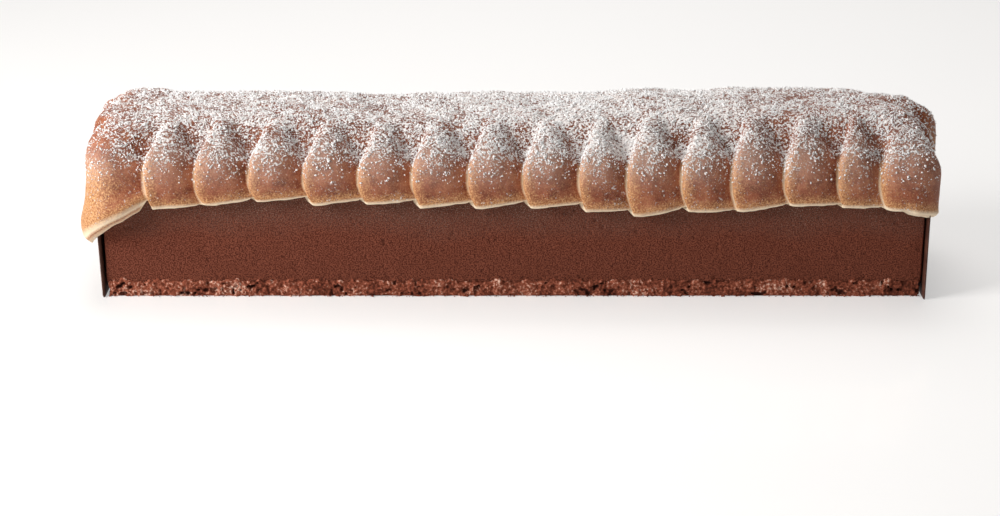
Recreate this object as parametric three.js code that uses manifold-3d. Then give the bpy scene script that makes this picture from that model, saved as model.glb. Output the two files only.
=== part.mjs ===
// A log-shaped mousse cake: a bar of chocolate mousse on a thin sponge, under a browned topping piped in
// overlapping lobes that hang over the sides, with a dark chocolate plaque stood against each end.
// Millimetres. X runs along the log, the front faces -Y, and Z is up from the underside of the sponge.
import * as THREE from "three";
import { mergeVertices } from "three/addons/utils/BufferGeometryUtils.js";
import Module from "manifold-3d";

// The bar and its base.
const BAR_LENGTH = 349;
const BAR_DEPTH = 74;
const BAR_TOP = 52;
const BAR_EDGE = 1.2;
const SPONGE_TOP = 7.5;
const SPONGE_LENGTH = 348;
const SPONGE_DEPTH = 75.2;
const CRUMB_RELIEF = 0.9;
const CRUMB_STEP = 4.6;
const FIT_GAP = 0.3;

// The plaques: thin upright sheets, hidden at the top by the topping.
const PLAQUE_HEIGHT = 40;
const PLAQUE_BEVEL = 0.25;
const LEFT_PLAQUE = { outer: -176.3, thickness: 1.4, lean: -0.9, front: -38.5, back: 39 };
const RIGHT_PLAQUE = { outer: 175.9, thickness: 1.1, lean: 0, front: -41, back: 39 };

// The topping in plan: a rounded rectangle at its widest level, and a ridge line that ends short of its ends.
const TOPPING_HALF_LENGTH = 181.5;
const TOPPING_HALF_DEPTH = 45;
const TOPPING_CORNER = 15;
const SPINE_HALF_LENGTH = 154;
const SPINE_Y = 2;
const WIDEST_Z = 53;
const SPINE_Z = 75.6;
const FLOOR_Z = 42;
const INNER_REACH = 0.42;

// The lobes along one long side, from its left to its right: width, height of the low front corner, height
// of the rim where the next lobe covers it, how far the ridge line lies over or under its mean height there,
// and the ease with which the rim climbs from low to high (1 is straight, less climbs early).
const SIDE_LOBES = [
  { width: 21, low: 42.3, high: 42.9, rise: 0, ease: 1 },
  { width: 22.5, low: 43.2, high: 46, rise: 0, ease: 0.6 },
  { width: 23, low: 44.8, high: 46.6, rise: 0, ease: 0.4 },
  { width: 23, low: 43.4, high: 45.8, rise: -0.6, ease: 0.35 },
  { width: 22.5, low: 43.9, high: 45.4, rise: -1.6, ease: 0.25 },
  { width: 23.5, low: 42.4, high: 44.6, rise: -0.6, ease: 0.3 },
  { width: 23, low: 42, high: 44.8, rise: 0, ease: 0.5 },
  { width: 23.5, low: 42.2, high: 44, rise: -0.7, ease: 0.35 },
  { width: 20, low: 40.6, high: 40.9, rise: -0.5, ease: 1 },
  { width: 23, low: 38.4, high: 42.2, rise: 1.3, ease: 1 },
  { width: 21, low: 40.4, high: 40.8, rise: 0.6, ease: 1 },
  { width: 22, low: 40.8, high: 43.4, rise: 1.9, ease: 0.9 },
  { width: 22.5, low: 43.2, high: 43.6, rise: 1.8, ease: 0.5 },
  { width: 17.5, low: 42.6, high: 42.4, rise: 1.3, ease: 0.6 },
];
const SIDE_START = -155;
const END_LOBE_WIDTH = 22;
// The corner and end lobes after the front side and after the back one. Bulge pushes a lobe out, slump lowers
// its shoulder, power squares it (2 is an ellipse), flare pushes its wall out towards the rim, curl draws the
// rim itself back in, crease is a share of the usual depth of its creases, and lip is the depth of the pale
// edge under the rim, reached from lipFrom to lipTo along the lobe. Corner is where along the lobe its rim is
// lowest, and reach is how near to the ridge line its creases run, as a share of the way from there out.
const AFTER_FRONT = [
  { low: 41.5, high: 33, ease: 1.4, bulge: 0.6, flare: -0.5, lip: 2.5, slump: 4, crease: 0.8, power: 2.4 },
  { low: 33, high: 37, bulge: -2, slump: 4, crease: 0.35, power: 4 },
  { low: 36, high: 38, bulge: 4, slump: 10, crease: 0.5, power: 8 },
  { low: 38, high: 44, bulge: 3.5, slump: 20, crease: 0.6, power: 5 },
];
const LEFT_FLAP = {
  low: 28,
  high: 46.2,
  ease: 0.38,
  corner: 0.24,
  flare: 5.7,
  curl: 3.2,
  slump: 3,
  lip: 4.2,
  lipFrom: 0.02,
  lipTo: 0.2,
  power: 3.8,
};
const AFTER_BACK = [
  { low: 41.5, high: 34, ease: 1.3, bulge: -0.1, flare: 0.8, slump: 2.2, crease: 0.3, power: 5.5 },
  { low: 30, high: 28, flare: 1, slump: 1, crease: 0.3, power: 6.5 },
  { low: 27, high: 26, bulge: -0.2, flare: 4.2, curl: 1.5, crease: 0.35, power: 5.5 },
  LEFT_FLAP,
];
const LOBE_DEFAULTS = {
  rise: 0,
  ease: 0.55,
  corner: 0.1,
  bulge: 0,
  slump: 0,
  power: 2.8,
  flare: -2,
  curl: 0,
  crease: 1,
  lip: 1.2,
  lipFrom: 0.1,
  lipTo: 0.35,
  reach: 0.62,
};
const FRONT_REACH = 0.4;
// The share of a lobe over which its rim leaves the low corner gently, and where along it the lip thins out
// again before the next lobe covers it, to what share of its depth.
const CLIMB_START = 0.16;
const LIP_ENDS = [0.87, 0.96];
const COVERED_LIP = 0.4;
// How far in the lip's foot lies: a little, and more with its depth.
const LIP_INSET = 0.6;
const LIP_SLOPE = 0.62;

// How each lobe stands out of the dome: the depth of its crease at the rim, at the widest level and on the
// shoulder, how far its lip laps over the lobe before it, how far its ridge leans along the log on the way
// up, how far its rim swings back along the log, and the width of the hollow beside its ridge.
const RIM_CREASE = 2.6;
const WALL_CREASE = 4.6;
const SHOULDER_CREASE = 7.6;
const LIP_OVERLAP = 1.4;
const RIDGE_LEAN = 12.8;
const RIM_SWING = 2.6;
const BACK_LEAN_SHARE = 0.3;
const HOLLOW_WIDTH = 12.8;
// Across its width a lobe has its crest here. It rises to it and falls from it by these powers on the wall
// and by a lower one on top, and the hollow beside the ridge closes over this range of the way out.
const CREST = 0.2;
const WALL_POWER = 2.6;
const RIDGE_POWER = 1.7;
const ROUNDS_OVER = [0.55, 0.97];
const HOLLOW_CLOSES = [0.5, 0.98];

// Where the grid of the topping has its columns in a lobe, and its rows below and above the widest level.
const LOBE_COLUMNS = [0, 0.045, 0.11, 0.2, 0.33, 0.5, 0.68, 0.85];
const WALL_ROWS = [1, 0.62, 0.28];
const DOME_ROWS = [0, 4, 10, 18, 28, 38, 48, 57, 66, 75, 83].map(THREE.MathUtils.degToRad);

const wasm = await Module();
wasm.setup();
const { clamp, lerp, mapLinear, smoothstep } = THREE.MathUtils;

const material = (name, color, roughness) =>
  new THREE.MeshStandardMaterial({ name, color, roughness, metalness: 0 });
const browned = material("browned_topping", "#975e45", 0.75);
const mousse = material("chocolate_mousse", "#613226", 0.85);
const sponge = material("chocolate_sponge", "#7d4838", 0.95);
const chocolate = material("dark_chocolate", "#4d2f29", 0.35);

// A closed geometry as a manifold solid, and back again.
function solidOf(geometry) {
  const bare = geometry.index ? geometry.toNonIndexed() : geometry.clone();
  bare.deleteAttribute("normal");
  bare.deleteAttribute("uv");
  const merged = mergeVertices(bare, 1e-4);
  const vertProperties = merged.attributes.position.array;
  const triVerts = new Uint32Array(merged.index.array);
  return new wasm.Manifold(new wasm.Mesh({ numProp: 3, vertProperties, triVerts }));
}

function geometryOf(solid) {
  const made = solid.getMesh();
  const geometry = new THREE.BufferGeometry();
  geometry.setAttribute("position", new THREE.BufferAttribute(made.vertProperties, 3));
  geometry.setIndex(new THREE.BufferAttribute(made.triVerts, 1));
  return geometry;
}

// A closed geometry from rings of points, one above another, with the first ring and the last one capped.
function stackedRings(rings) {
  const count = rings[0].length;
  const points = rings.flat();
  const faces = [];
  for (let row = 0; row + 1 < rings.length; row++) {
    for (let i = 0; i < count; i++) {
      const a = row * count + i;
      const b = row * count + ((i + 1) % count);
      faces.push(a, b, b + count, a, b + count, a + count);
    }
  }
  const capAt = (row, upward) => {
    const outline = rings[row].map(([x, y]) => new THREE.Vector2(x, y));
    for (const [a, b, c] of THREE.ShapeUtils.triangulateShape(outline, [])) {
      const start = row * count;
      faces.push(start + a, start + (upward ? b : c), start + (upward ? c : b));
    }
  };
  capAt(0, false);
  capAt(rings.length - 1, true);
  const geometry = new THREE.BufferGeometry();
  geometry.setAttribute("position", new THREE.Float32BufferAttribute(points.flat(), 3));
  geometry.setIndex(faces);
  return geometry;
}

// The outline of a rounded rectangle at a distance s along it, anticlockwise from the left end of its front
// edge: the point, the direction of travel and the direction outwards.
function outlineAt(s, halfLength, halfDepth, corner) {
  const straights = [2 * (halfLength - corner), 2 * (halfDepth - corner)];
  const arc = (Math.PI / 2) * corner;
  let rest = s;
  for (let side = 0; ; side = (side + 1) % 4) {
    const straight = straights[side % 2];
    const turn = (side * Math.PI) / 2;
    const along = [Math.cos(turn), Math.sin(turn)];
    const out = [Math.sin(turn), -Math.cos(turn)];
    const reach = side % 2 ? halfLength : halfDepth;
    const half = straight / 2;
    if (rest <= straight) {
      const at = (axis) => along[axis] * (rest - half) + out[axis] * reach;
      return { point: [at(0), at(1)], along, out };
    }
    rest -= straight;
    if (rest <= arc) {
      const angle = turn + rest / corner;
      const bend = [Math.sin(angle), -Math.cos(angle)];
      const at = (axis) => along[axis] * half + out[axis] * (reach - corner) + bend[axis] * corner;
      return { point: [at(0), at(1)], along: [Math.cos(angle), Math.sin(angle)], out: bend };
    }
    rest -= arc;
  }
}

function perimeter(halfLength, halfDepth, corner) {
  return 4 * (halfLength + halfDepth - 2 * corner) + 2 * Math.PI * corner;
}

// The sponge's ring of crumbs: a rounded rectangle, its edge pushed in and out by a repeatable wobble.
function crumbRing(z, inset, phase) {
  const half = [SPONGE_LENGTH / 2, SPONGE_DEPTH / 2];
  const length = perimeter(half[0], half[1], BAR_EDGE);
  const count = Math.round(length / CRUMB_STEP);
  return Array.from({ length: count }, (_, i) => {
    const { point, out } = outlineAt((i * length) / count, half[0], half[1], BAR_EDGE);
    const wobble = Math.sin(i * 2.4 + phase) * 0.6 + Math.sin(i * 1.13 + 2 * phase) * 0.4;
    const push = CRUMB_RELIEF * (wobble * 0.5 - 0.5) - inset;
    return [point[0] + out[0] * push, point[1] + out[1] * push, z];
  });
}

function spongeGeometry() {
  return stackedRings([
    crumbRing(0, 0.7, 0.4),
    crumbRing(1.6, 0, 1.9),
    crumbRing(3.9, 0.1, 3.3),
    crumbRing(6.1, 0, 5.2),
    crumbRing(SPONGE_TOP, 0.3, 0.9),
  ]);
}

// The bar: straight cut sides, with its edges eased a little. Grown makes the room that the topping needs.
function barGeometry(grown) {
  const half = [BAR_LENGTH / 2 + grown, BAR_DEPTH / 2 + grown];
  const length = perimeter(half[0], half[1], BAR_EDGE + grown);
  const cornerSteps = 3;
  const ring = (z, inset) => {
    const corner = BAR_EDGE + grown;
    const straights = [2 * (half[0] - corner), 2 * (half[1] - corner)];
    const arc = (Math.PI / 2) * corner;
    const stops = [];
    for (let side = 0, s = 0; side < 4; side++) {
      s += straights[side % 2];
      for (let step = 0; step <= cornerSteps; step++) stops.push(s + (arc * step) / cornerSteps);
      s += arc;
    }
    return stops.map((s) => {
      const { point, out } = outlineAt(Math.min(s, length), half[0], half[1], corner);
      return [point[0] - out[0] * inset, point[1] - out[1] * inset, z];
    });
  };
  const top = BAR_TOP + grown;
  return stackedRings([ring(SPONGE_TOP, 0), ring(top - BAR_EDGE, 0), ring(top, BAR_EDGE * 0.8)]);
}

// A plaque: its edge-on section, leaning outwards, drawn out from its front edge to its back one.
function plaqueGeometry({ outer, thickness, lean, front, back }) {
  const side = Math.sign(outer);
  const section = new THREE.Shape();
  const inner = outer - side * thickness;
  section.moveTo(inner, 0);
  section.lineTo(outer, 0);
  section.lineTo(outer + lean, PLAQUE_HEIGHT - PLAQUE_BEVEL);
  section.lineTo(outer + lean - side * PLAQUE_BEVEL, PLAQUE_HEIGHT);
  section.lineTo(inner + lean + side * PLAQUE_BEVEL, PLAQUE_HEIGHT);
  section.lineTo(inner + lean, PLAQUE_HEIGHT - PLAQUE_BEVEL);
  section.closePath();
  const drawn = new THREE.ExtrudeGeometry(section, { depth: back - front, bevelEnabled: false });
  return drawn.rotateX(Math.PI / 2).translate(0, back, 0);
}

// The room for a plaque under the topping: from inside the bar to just past the plaque's outer face.
function plaqueRoom({ outer, lean, front, back }) {
  const side = Math.sign(outer);
  const inside = side * (BAR_LENGTH / 2 - 2);
  const outside = outer + side * FIT_GAP;
  const section = new THREE.Shape();
  section.moveTo(inside, -1);
  section.lineTo(outside, -1);
  section.lineTo(outside + lean, PLAQUE_HEIGHT + FIT_GAP);
  section.lineTo(inside, PLAQUE_HEIGHT + FIT_GAP);
  section.closePath();
  const depth = back - front + 2 * FIT_GAP;
  const drawn = new THREE.ExtrudeGeometry(section, { depth, bevelEnabled: false });
  return drawn.rotateX(Math.PI / 2).translate(0, back + FIT_GAP, 0);
}

// All lobes in order round the topping: front side, right end, back side, left end.
function lobesAround() {
  const straight = 2 * (TOPPING_HALF_LENGTH - TOPPING_CORNER);
  const endStraight = 2 * (TOPPING_HALF_DEPTH - TOPPING_CORNER);
  const arc = (Math.PI / 2) * TOPPING_CORNER;
  const before = SIDE_START + TOPPING_HALF_LENGTH - TOPPING_CORNER;
  const sideLength = SIDE_LOBES.reduce((sum, lobe) => sum + lobe.width, 0);
  const after = straight - before - sideLength;
  const endRest = (endStraight - 2 * END_LOBE_WIDTH) / 2;
  const endWidths = [after + arc + endRest, END_LOBE_WIDTH, END_LOBE_WIDTH, endRest + arc + before];
  const backRises = SIDE_LOBES.map((lobe) => lobe.rise).reverse();
  const lobes = [
    ...SIDE_LOBES.map((lobe) => ({ ...lobe, side: true, reach: FRONT_REACH })),
    ...AFTER_FRONT.map((lobe, i) => ({ ...lobe, width: endWidths[i], rise: SIDE_LOBES.at(-1).rise })),
    ...SIDE_LOBES.map((lobe, i) => ({ ...lobe, side: true, rise: backRises[i] })),
    ...AFTER_BACK.map((lobe, i) => ({ ...lobe, width: endWidths[i], rise: SIDE_LOBES[0].rise })),
  ];
  let start = before;
  return lobes.map((lobe) => {
    const placed = { ...LOBE_DEFAULTS, ...lobe, start };
    start += lobe.width;
    return placed;
  });
}

// The profile of a lobe across its width, 1 on its crest and 0 in the creases. It rises steeply out of the
// crease where it covers the lobe before it, then rounds off to where the next one covers it. Radius is 1 on
// the wall and 0 on the ridge line: on top the lobe narrows to a ridge with a hollow beside it.
function lobeProfile(t, radius, ridgeShare) {
  if (t < CREST) return 1 - (1 - t / CREST) ** WALL_POWER;
  const closed = clamp(mapLinear(radius, ...HOLLOW_CLOSES, 0, 1), 0, 1);
  const end = lerp(ridgeShare, 1, closed);
  const power = lerp(RIDGE_POWER, WALL_POWER, smoothstep(radius, ...ROUNDS_OVER));
  return 1 - Math.min(1, (t - CREST) / (end - CREST)) ** power;
}

// A share to a power, with a rounded start instead of a steep one.
function softPower(share, power) {
  const start = CLIMB_START ** power;
  const at = (value) => Math.hypot(value, CLIMB_START) ** power - start;
  return at(share) / at(1);
}

// One column of the topping: everything about it that doesn't change with height.
function columnAt(lobes, index, t) {
  const lobe = lobes[index];
  const previous = lobes[(index + lobes.length - 1) % lobes.length];
  const next = lobes[(index + 1) % lobes.length];
  const length = perimeter(TOPPING_HALF_LENGTH, TOPPING_HALF_DEPTH, TOPPING_CORNER);
  const s = (lobe.start + t * lobe.width) % length;
  const place = outlineAt(s, TOPPING_HALF_LENGTH, TOPPING_HALF_DEPTH, TOPPING_CORNER);
  const [x, y] = place.point;
  const onSide = lobe.side || (t === 0 && previous.side);
  const spineX = onSide
    ? x + Math.sign(-y) * (-SIDE_START - SPINE_HALF_LENGTH)
    : Math.sign(x) * SPINE_HALF_LENGTH;
  const across = t < lobe.corner ? t / lobe.corner : (t - lobe.corner) / (1 - lobe.corner);
  const rim =
    t < lobe.corner
      ? lerp(previous.high, lobe.low, Math.sin((across * Math.PI) / 2))
      : lerp(lobe.low, lobe.high, softPower(across, lobe.ease));
  const mixNext = (key) => {
    const mixed = lerp(previous[key], lobe[key], smoothstep(t, -0.3, 0.3));
    return lerp(mixed, next[key], smoothstep(t, 0.7, 1.3));
  };
  const frontness = smoothstep(-y, TOPPING_HALF_DEPTH - TOPPING_CORNER, TOPPING_HALF_DEPTH);
  const lipShare = smoothstep(t, lobe.lipFrom, lobe.lipTo) * (1 - smoothstep(t, ...LIP_ENDS));
  return {
    ...place,
    t,
    rim,
    spineX,
    leanShare: lerp(BACK_LEAN_SHARE, 1, frontness),
    ridgeShare: 1 - HOLLOW_WIDTH / lobe.width,
    top: SPINE_Z + mixNext("rise"),
    flare: mixNext("flare"),
    curl: mixNext("curl"),
    creaseShare: mixNext("crease"),
    bulge: mixNext("bulge"),
    slump: mixNext("slump"),
    reach: mixNext("reach"),
    power: mixNext("power"),
    lip: lerp(LOBE_DEFAULTS.lip * lerp(1, COVERED_LIP, t), lobe.lip, lipShare),
  };
}

// A point of the topping's skin on a column. The dome is a superellipse from the widest level to the ridge
// line. Angle climbs from 0 at the widest level to a right angle on the ridge line, and drop goes from 0 at
// the widest level to 1 at the rim.
function skinPoint(column, angle, drop) {
  const { point, along, out, t, spineX, ridgeShare, power, reach } = column;
  const radius = Math.cos(angle) ** (2 / power);
  const height = Math.sin(angle) ** (2 / power);
  const domeHeight = column.top - WIDEST_Z;
  const steepOut = radius ** (power - 1) / TOPPING_HALF_DEPTH;
  const steepUp = height ** (power - 1) / domeHeight;
  const steep = Math.hypot(steepOut, steepUp);
  const wallCrease = lerp(WALL_CREASE, RIM_CREASE, drop);
  const domeCrease = lerp(wallCrease, SHOULDER_CREASE, smoothstep(height, 0, 0.6));
  const crease = column.creaseShare * domeCrease * smoothstep(radius, reach, 0.6 + 0.6 * reach);
  const sunk = crease * (1 - lobeProfile(t, radius, ridgeShare));
  const wallPush = column.flare * drop ** 1.6 - column.curl * drop ** 6;
  const push = column.bulge * smoothstep(radius, 0, 1) + wallPush - sunk;
  const lapping = 1 - smoothstep(height, 0.35, 0.75);
  const lap = LIP_OVERLAP * Math.sin(Math.PI * Math.min(1, t / CREST)) * lapping;
  const extraLean = (RIDGE_LEAN - 1) * (1 - radius) * smoothstep(radius, 0.06, 0.46);
  const travel = extraLean * column.leanShare + RIM_SWING * drop ** 2 - lap;
  const outward = (push * steepOut) / steep;
  const z = WIDEST_Z + height * (domeHeight - column.slump * radius ** 2) - drop * (WIDEST_Z - column.rim);
  return [
    lerp(spineX, point[0], radius) + along[0] * travel + out[0] * outward,
    lerp(SPINE_Y, point[1], radius) + along[1] * travel + out[1] * outward,
    z + (push * steepUp) / steep,
  ];
}

// The topping before it is hollowed: skin from the ridge line to the rim, a pale lip under it, and a flat
// underside.
function toppingGeometry() {
  const lobes = lobesAround();
  const columns = lobes.flatMap((_, index) => LOBE_COLUMNS.map((t) => columnAt(lobes, index, t)));
  const rows = [
    ...DOME_ROWS.toReversed().map((angle) => columns.map((column) => skinPoint(column, angle, 0))),
    ...WALL_ROWS.toReversed().map((drop) => columns.map((column) => skinPoint(column, 0, drop))),
  ];
  const rim = rows.at(-1);
  const inward = (share) => (value, i, axis) => lerp(value, axis ? SPINE_Y : columns[i].spineX, share);
  const lipRow = rim.map(([x, y, z], i) => {
    const { out, lip } = columns[i];
    const inset = LIP_INSET + lip * LIP_SLOPE;
    return [x - out[0] * inset, y - out[1] * inset, z - lip];
  });
  const innerRow = lipRow.map(([x, y, z], i) => {
    const move = inward(INNER_REACH);
    return [move(x, i, 0), move(y, i, 1), lerp(z, FLOOR_Z, 0.25)];
  });
  rows.push(lipRow, innerRow);

  const count = columns.length;
  const sideCount = SIDE_LOBES.length * LOBE_COLUMNS.length;
  const positions = rows.flat();
  // The ridge line and the line under it, shared by the front columns and the back ones.
  const spineStart = positions.length;
  for (let i = 0; i <= sideCount; i++) positions.push([columns[i].spineX, SPINE_Y, columns[i].top]);
  const floorStart = positions.length;
  for (let i = 0; i <= sideCount; i++) positions.push([columns[i].spineX, SPINE_Y, FLOOR_Z]);
  const spineOf = (i) => {
    const half = count / 2;
    const own = i % half;
    if (own > sideCount) return i < half ? sideCount : 0;
    return i < half ? own : sideCount - own;
  };

  const faces = [];
  const addQuad = (a, b, c, d) => {
    if (a !== b) faces.push(a, b, c);
    if (c !== d) faces.push(a, c, d);
  };
  for (let i = 0; i < count; i++) {
    const j = (i + 1) % count;
    addQuad(spineStart + spineOf(i), i, j, spineStart + spineOf(j));
    for (let row = 0; row + 1 < rows.length; row++) {
      const upper = row * count;
      const lower = upper + count;
      faces.push(upper + i, lower + i, lower + j, upper + i, lower + j, upper + j);
    }
    const last = (rows.length - 1) * count;
    addQuad(last + i, floorStart + spineOf(i), floorStart + spineOf(j), last + j);
  }
  const geometry = new THREE.BufferGeometry();
  geometry.setAttribute("position", new THREE.Float32BufferAttribute(positions.flat(), 3));
  geometry.setIndex(faces);
  return geometry;
}

// The topping sits down over the bar and hangs outside the plaques.
function fittedTopping() {
  const room = [barGeometry(FIT_GAP), plaqueRoom(LEFT_PLAQUE), plaqueRoom(RIGHT_PLAQUE)];
  let solid = solidOf(toppingGeometry());
  for (const cut of room) solid = solid.subtract(solidOf(cut));
  const bodies = solid.decompose().sort((a, b) => b.volume() - a.volume());
  return geometryOf(bodies[0]);
}

function addPiece(group, name, geometry, finish) {
  const mesh = new THREE.Mesh(geometry, finish);
  mesh.name = name;
  group.add(mesh);
  return mesh;
}

const cake = new THREE.Group();
addPiece(cake, "sponge_base", spongeGeometry(), sponge);
addPiece(cake, "mousse_bar", barGeometry(0), mousse);
addPiece(cake, "left_plaque", plaqueGeometry(LEFT_PLAQUE), chocolate);
addPiece(cake, "right_plaque", plaqueGeometry(RIGHT_PLAQUE), chocolate);
addPiece(cake, "lobed_topping", fittedTopping(), browned);

// The origin lies under the middle of the whole cake.
const box = new THREE.Box3().setFromObject(cake);
const centre = box.getCenter(new THREE.Vector3());
cake.position.set(-centre.x, -centre.y, 0);

const part = new THREE.Group();
part.add(cake);

export default part;
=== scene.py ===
"""A log-shaped chocolate mousse cake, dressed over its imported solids. Lengths are in millimetres, and become
metres when a mesh is made."""

import itertools
import math

import bmesh
import bpy
import numpy as np
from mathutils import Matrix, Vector


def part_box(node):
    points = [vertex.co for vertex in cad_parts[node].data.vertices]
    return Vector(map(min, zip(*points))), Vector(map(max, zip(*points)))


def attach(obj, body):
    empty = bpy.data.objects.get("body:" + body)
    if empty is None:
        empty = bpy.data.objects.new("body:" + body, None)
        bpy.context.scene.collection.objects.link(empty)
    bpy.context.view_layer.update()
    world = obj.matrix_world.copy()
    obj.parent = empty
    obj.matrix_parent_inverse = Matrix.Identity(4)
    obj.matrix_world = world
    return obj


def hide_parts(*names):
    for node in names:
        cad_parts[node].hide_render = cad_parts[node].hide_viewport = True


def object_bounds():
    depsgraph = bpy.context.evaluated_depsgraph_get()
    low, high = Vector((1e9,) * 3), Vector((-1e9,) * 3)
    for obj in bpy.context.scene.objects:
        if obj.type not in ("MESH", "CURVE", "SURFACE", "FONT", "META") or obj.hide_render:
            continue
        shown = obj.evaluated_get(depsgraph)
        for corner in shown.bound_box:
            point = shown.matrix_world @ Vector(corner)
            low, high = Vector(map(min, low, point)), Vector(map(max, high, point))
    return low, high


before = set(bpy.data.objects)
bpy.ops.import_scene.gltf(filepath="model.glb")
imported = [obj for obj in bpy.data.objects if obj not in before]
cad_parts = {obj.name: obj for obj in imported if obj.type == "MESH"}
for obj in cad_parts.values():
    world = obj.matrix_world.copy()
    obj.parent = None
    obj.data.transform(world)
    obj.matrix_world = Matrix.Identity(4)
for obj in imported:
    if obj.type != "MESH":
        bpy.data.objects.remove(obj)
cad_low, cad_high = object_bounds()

# ----------------------------------------------------------------------------------------------------------
# The sponge base: a sheet of dark chocolate sponge, baked thin and sawn through with the log on it. Its cut
# side shows the open crumb, with holes darkened by painted shade, paler torn lumps and ragged edges. The set
# mousse holds it.
# ----------------------------------------------------------------------------------------------------------
MM = 0.001
TO_MM = 1000.0
SPONGE_TOP = 7.5
SPONGE_HALF = (174.0, 37.6)
SPONGE_CORNER = 1.2
SPONGE_STEP = 0.46
SPONGE_ROWS = 20
SPONGE_TOP_INSET = 2.5
SPONGE_FOOT_INSET = 1.6
SPONGE_FOOT = 0.25
SPONGE_LOWEST = 0.05
SPONGE_SINK = 0.35
SPONGE_PUSH = (-2.4, 0.35)
HOLE_SIZE = 1.5
HOLE_DEPTH = 1.2
HOLED_PATCH = 7.0
LOG_CENTRE = np.mean([tuple(corner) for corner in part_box("mousse_bar")], axis=0) * [TO_MM, TO_MM, 0.0]


def ease(low, high, value):
    """0 below low, 1 above high, and between them the cubic 3 t^2 - 2 t^3 of the share t of the way."""
    t = np.clip((value - low) / (high - low), 0.0, 1.0)
    return t * t * (3 - 2 * t)


def grain(points, size, seed):
    """Smooth noise from -1 to 1: a random value on each corner of a lattice of cubes of that size, blended
    inside each cube by the cubic 3 t^2 - 2 t^3 along its three edges."""
    cell = points.reshape(-1, 3) / size
    low = np.floor(cell).astype(np.int64)
    share = cell - low
    share = share * share * (3 - 2 * share)
    total = np.zeros(len(cell))
    for corner in range(8):
        step = np.array([corner & 1, corner >> 1 & 1, corner >> 2 & 1])
        key = ((low + step) * np.array([73856093, 19349663, 83492791])).sum(axis=1) + seed * 7919
        key = (key ^ key >> 15) * 2246822519 & 0xFFFFFFFF
        key = (key ^ key >> 13) * 3266489917 & 0xFFFFFFFF
        weight = np.where(step, share, 1 - share).prod(axis=1)
        total += weight * ((key ^ key >> 16) / 0x7FFFFFFF - 1)
    return total.reshape(points.shape[:-1])


def walk_round(s, half_length, half_depth, corner):
    """The point, the direction of travel and the direction outwards at distances s along a rounded rectangle:
    four straights joined by quarter circles, anticlockwise from the left end of the front straight."""
    straights = 2 * (np.array([half_length, half_depth] * 2) - corner)
    starts = np.concatenate([[0.0], np.cumsum(straights + math.pi / 2 * corner)])
    s = s % starts[-1]
    side = np.searchsorted(starts, s, side="right") - 1
    rest = s - starts[side]
    turn = side * math.pi / 2
    angle = turn + np.maximum(rest - straights[side], 0.0) / corner
    run = np.minimum(rest, straights[side]) - straights[side] / 2
    reach = np.where(side % 2, half_length, half_depth) - corner
    along = np.stack([np.cos(angle), np.sin(angle)], axis=-1)
    out = np.stack([np.sin(angle), -np.cos(angle)], axis=-1)
    on_straight = np.stack([np.cos(turn), np.sin(turn)], axis=-1) * run[:, None]
    to_straight = np.stack([np.sin(turn), -np.cos(turn)], axis=-1) * reach[:, None]
    return on_straight + to_straight + out * corner, along, out


def way_round(half_length, half_depth, corner):
    """The length of a rounded rectangle's outline: its straights and one full circle of its corner radius."""
    return 4 * (half_length + half_depth - 2 * corner) + 2 * math.pi * corner


def at_height(flat, z):
    """A ring of flat points at the height z, or one such ring for each row of heights."""
    z = np.broadcast_to(z, np.broadcast_shapes(np.shape(z), flat.shape[:-1]))
    return np.concatenate([np.broadcast_to(flat, (*z.shape, 2)), z[..., None]], axis=-1)


def capped(wall, flat, out, top, foot):
    """A wall of rings with a top and a foot: on each, a ring a little inside the wall, then one shrunk to the
    middle. Top and foot each give a height and how far inside the wall the ring lies."""
    middle = np.zeros_like(flat)
    above = [at_height(middle, top[0]), at_height(flat - out * top[1], top[0])]
    below = [at_height(flat - out * foot[1], foot[0]), at_height(middle, foot[0])]
    return np.concatenate([above, wall, below])


def ring_faces(rows, columns):
    """Quads between rows of closed rings, the rows running down and the columns anticlockwise."""
    here = np.arange(rows * columns).reshape(rows, columns)
    beside = np.roll(here, -1, axis=1)
    return np.stack([here[:-1], here[1:], beside[1:], beside[:-1]], axis=-1).reshape(-1, 4)


def new_piece(name, points, faces, material, values=None, smooth=True):
    """An object from points in millimetres, faces as rows of point numbers, and named numbers for each point,
    which the material can read."""
    mesh = bpy.data.meshes.new(name)
    sides = faces.shape[1]
    mesh.vertices.add(len(points))
    mesh.vertices.foreach_set("co", (points * MM).astype(np.float32).ravel())
    mesh.loops.add(faces.size)
    mesh.loops.foreach_set("vertex_index", faces.astype(np.int32).ravel())
    mesh.polygons.add(len(faces))
    mesh.polygons.foreach_set("loop_start", np.arange(0, faces.size, sides, dtype=np.int32))
    mesh.update(calc_edges=True)
    for key, value in (values or {}).items():
        numbers = mesh.attributes.new(key, "FLOAT", "POINT").data
        numbers.foreach_set("value", value.astype(np.float32).ravel())
    mesh.polygons.foreach_set("use_smooth", np.full(len(faces), smooth))
    mesh.materials.append(material)
    piece = bpy.data.objects.new(name, mesh)
    bpy.context.scene.collection.objects.link(piece)
    return piece


def merged(piece, reach=1e-6, turn_out=False):
    """The piece with points closer than reach metres made one and faces of no area taken away, and, where
    asked, with its faces all turned outwards."""
    work = bmesh.new()
    work.from_mesh(piece.data)
    bmesh.ops.remove_doubles(work, verts=work.verts, dist=reach)
    bmesh.ops.dissolve_degenerate(work, edges=work.edges, dist=reach / 10)
    if turn_out:
        bmesh.ops.recalc_face_normals(work, faces=work.faces)
    work.to_mesh(piece.data)
    work.free()
    return piece


def tint(code):
    """A colour from its sRGB hex code, turned to linear light by the sRGB curve."""
    part = np.array([int(code[i : i + 2], 16) for i in (1, 3, 5)]) / 255
    linear = np.where(part <= 0.04045, part / 12.92, ((part + 0.055) / 1.055) ** 2.4)
    return (*linear.tolist(), 1.0)


def cells(size):
    """The scale of a pattern whose cells are that many millimetres wide: the cells in a metre."""
    return TO_MM / size


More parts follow.
